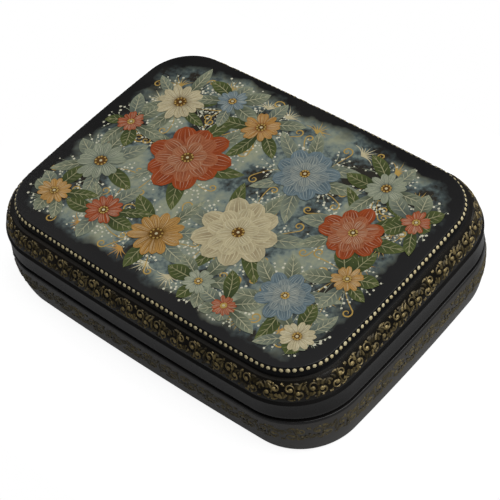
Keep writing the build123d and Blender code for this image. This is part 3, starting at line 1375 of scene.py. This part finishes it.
def grass(brush, root, angle, tone, hand):
    """A tuft of bending blades."""
    blade_bend = 1.4
    steps = 8
    widths = comma_widths(width=0.3, steps=steps)
    for turn in (-52, -39, -26, -13, 0, 13, 26, 39, 52):
        blade = comma_path(root, angle + turn, hand.uniform(3.0, 5.0), turn * blade_bend, steps)
        brush.stroke(inside_picture(blade), widths, [tone] * (steps + 1), line_height)


def near_picture_edge(angle, share):
    """A point in the direction of an angle, at a share of the way to the ground's squarish edge."""
    across, along = math.cos(angle), math.sin(angle)
    power = picture_squareness
    reach = share / (abs(across) ** power + abs(along) ** power) ** (1 / power)
    return picture_half_length * reach * across, picture_half_depth * reach * along


# Each flower's kind, centre, radius and the names of its deep and light paint
garland = (
    (rosette, (-17.0, 3.0), 10.5, "wine", "rust"),
    (rosette, (8.0, -8.0), 10.0, "umber", "ivory"),
    (rosette, (9.0, 14.0), 8.0, "teal", "sky"),
    (rosette, (29.0, 6.0), 7.5, "wine", "rust"),
    (rosette, (28.0, -16.0), 6.5, "teal", "sky"),
    (daisy, (-7.0, -18.5), 6.5, "umber", "ochre"),
    (daisy, (-33.5, -9.0), 6.2, "teal", "stone"),
    (daisy, (-31.0, 16.0), 6.0, "umber", "ivory"),
    (daisy, (-9.0, 20.0), 4.8, "wine", "ochre"),
    (daisy, (27.0, 20.5), 4.8, "teal", "stone"),
    (daisy, (-22.0, -20.0), 4.5, "wine", "rust"),
    (daisy, (36.0, -5.0), 3.6, "umber", "ochre"),
    (daisy, (-36.5, 4.5), 3.4, "wine", "rust"),
    (daisy, (10.0, -23.5), 3.6, "teal", "stone"),
    (daisy, (37.0, -23.0), 4.0, "umber", "ivory"),
    (daisy, (-36.0, -22.0), 4.0, "umber", "ochre"),
    (daisy, (38.5, 16.0), 3.4, "wine", "rust"),
    (daisy, (-20.5, 23.0), 3.8, "teal", "sky"),
    (daisy, (19.0, -25.5), 2.8, "wine", "rust"),
)


def paint_grass(brush, hand):
    """Tufts of grass all round the edge of the ground."""
    tufts = 26
    for index in range(tufts):
        angle = 2 * math.pi * (index + hand.uniform(-0.3, 0.3)) / tufts
        place = near_picture_edge(angle, share=0.84)
        grass(brush, place, math.degrees(angle), paints[hand.choice(("gold", "ivory", "ochre"))], hand)


def paint_sprays(brush, hand):
    """Five sprays and five tendrils behind each flower."""
    count = 5
    between = 360 / count
    root_share = 0.8
    tendril_turn = 18
    for _, centre, radius, _, _ in garland:
        turn = hand.uniform(0, between)
        for index in range(count):
            heading = turn + between * index
            root = around(centre, radius * root_share, heading)
            spray(brush, root, heading, hand)
            tendril(brush, root, heading + tendril_turn, hand)


def paint_leaves(brush, hand):
    """Six leaves behind each flower."""
    greens = (("pine", "olive"), ("teal", "stone"), ("pine", "stone"))
    count = 6
    between = 360 / count
    for _, centre, radius, _, _ in garland:
        turn = hand.uniform(0, between)
        for index in range(count):
            deep, light = hand.choice(greens)
            length = radius + hand.uniform(4.5, 7.5)
            width = hand.uniform(2.6, 4.2)
            angle = turn + between * index + hand.uniform(-12, 12)
            leaf(brush, centre, angle, length, width, paints[deep], paints[light], hand)


def lid_painting():
    """A garland of garden flowers that fills the panel inside its black margin."""
    hand = random.Random(11)
    brush = Brush()
    paint_grass(brush, hand)
    brush.level += grass_layer
    paint_sprays(brush, hand)
    brush.level += bead_height
    paint_leaves(brush, hand)
    flower_level = brush.level
    for kind, centre, radius, deep, light in garland:
        brush.level = flower_level
        kind(brush, centre, radius, paints[deep], paints[light], hand)
    vertices = [(x, y, panel_height(x, y) + paint_raise + height) for x, y, height in brush.points]
    piece = mesh_piece("lid_flower_painting", vertices, brush.faces, picture_paint)
    paint = piece.data.attributes.new("paint", "FLOAT_COLOR", "POINT")
    paint.data.foreach_set("color", [channel for tone in brush.tones for channel in tone])
    return piece


painting = lid_painting()


# Each piece's body and CAD node
def place_piece(piece, body, node):
    """Let a piece ride on its body and stand for a CAD node."""
    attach(piece, body)
    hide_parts(node)


place_piece(base_wall, "base", "base_wall")
place_piece(bottom, "base", "base_bottom")
place_piece(collar, "base", "inner_collar")
place_piece(rim, "lid", "lid_wall")
place_piece(moulding, "lid", "lid_moulding")
place_piece(panel, "lid", "lid_panel")
for paintwork, body in ((dots, "lid"), (lid_scroll, "lid"), (painting, "lid"), (base_scroll, "base")):
    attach(paintwork, body)
for node, knuckle in knuckles.items():
    place_piece(knuckle, node.split("_")[0], node)
place_piece(wire, "base", "hinge_pin")


# Studio: a paper floor and a dim room, both white to the camera, and soft lamps
white = (1.0, 1.0, 1.0, 1.0)
paper_grey = (0.25, 0.25, 0.25, 1.0)
paper_lift_seen = 0.9
paper_lift_mirrored = 0.045
room_low = (0.05, 0.05, 0.05, 1.0)
room_overhead = (0.4, 0.4, 0.41, 1.0)
floor_margin = 32.0
floor_drop = 0.05


def floor_material():
    """Grey paper that keeps a faint shadow, lifted to white for the camera and a little in mirrors."""
    material = bpy.data.materials.new("floor_paper")
    material.use_nodes = True
    tree = material.node_tree
    shader = tree.nodes["Principled BSDF"]
    set_inputs(shader, Base_Color=paper_grey, Roughness=0.9, Specular_IOR_Level=0.0, Emission_Color=white)
    rays = add_node(tree, "ShaderNodeLightPath").outputs
    seen = calculate(tree, "MULTIPLY", rays["Is Camera Ray"], paper_lift_seen)
    mirrored = calculate(tree, "MULTIPLY", rays["Is Glossy Ray"], paper_lift_mirrored)
    tree.links.new(calculate(tree, "ADD", seen, mirrored), shader.inputs["Emission Strength"])
    return material


def studio_world():
    """A room that is pale overhead and dim below, seen white by the camera."""
    world = bpy.data.worlds.new("pale_room")
    world.use_nodes = True
    tree = world.node_tree
    direction = add_node(tree, "ShaderNodeTexCoord").outputs["Generated"]
    overhead = spread(tree, parts_of(tree, direction)["Z"], low=0.6, high=0.95)
    room = mix_colour(tree, overhead, room_low, room_overhead)
    rays = add_node(tree, "ShaderNodeLightPath").outputs
    shown = mix_colour(tree, rays["Is Camera Ray"], room, white)
    tree.links.new(shown, tree.nodes["Background"].inputs["Color"])
    bpy.context.scene.world = world


def soft_lamp(name, place, size, power):
    """A square soft lamp that points at the origin; place and size in metres, power in watts."""
    data = bpy.data.lights.new(name, "AREA")
    data.shape = "SQUARE"
    data.size = size
    data.energy = power
    lamp = bpy.data.objects.new(name, data)
    lamp.location = place
    lamp.rotation_mode = "QUATERNION"
    lamp.rotation_quaternion = (-Vector(place)).to_track_quat("-Z", "Y")
    bpy.context.scene.collection.objects.link(lamp)


def studio():
    """Floor, room and lamps."""
    reach_x = cad_high.x / MM + floor_margin
    reach_y = cad_high.y / MM + floor_margin
    corners = [(x * reach_x, y * reach_y, -floor_drop) for x, y in ((-1, -1), (1, -1), (1, 1), (-1, 1))]
    floor = mesh_piece("floor", corners, [(0, 1, 2, 3)], floor_material())
    studio_world()
    soft_lamp("main_lamp", place=(0.6, 0.2, 0.9), size=1.2, power=10.2)
    soft_lamp("back_lamp", place=(0.15, 0.9, 0.35), size=0.8, power=2.1)
    soft_lamp("left_lamp", place=(-0.9, 0.1, 0.3), size=0.5, power=1.8)


def camera():
    """The photograph's view: turned, raised and rolled, with the aim at its place in the frame."""
    turn = math.radians(camera_azimuth)
    lift = math.radians(camera_elevation)
    roll = math.radians(camera_roll)
    back = Vector((math.sin(turn) * math.cos(lift), -math.cos(turn) * math.cos(lift), math.sin(lift)))
    level_right = Vector((0, 0, 1)).cross(back).normalized()
    level_up = back.cross(level_right)
    right = math.cos(roll) * level_right + math.sin(roll) * level_up
    up = math.cos(roll) * level_up - math.sin(roll) * level_right
    aside = (aim_pixel_x - photo_size / 2) / focal_pixels * camera_distance
    above = (photo_size / 2 - aim_pixel_y) / focal_pixels * camera_distance
    aim = Vector((0, 0, dot_z))
    place = (aim - aside * right - above * up + camera_distance * back) * MM
    data = bpy.data.cameras.new("photo_camera")
    data.sensor_width = 36.0
    data.lens = focal_pixels * data.sensor_width / photo_size
    eye = bpy.data.objects.new("photo_camera", data)
    eye.matrix_world = Matrix.Translation(place) @ Matrix((right, up, back)).transposed().to_4x4()
    bpy.context.scene.collection.objects.link(eye)
    bpy.context.scene.camera = eye


studio()
camera()
bpy.context.scene.view_settings.view_transform = "Standard"
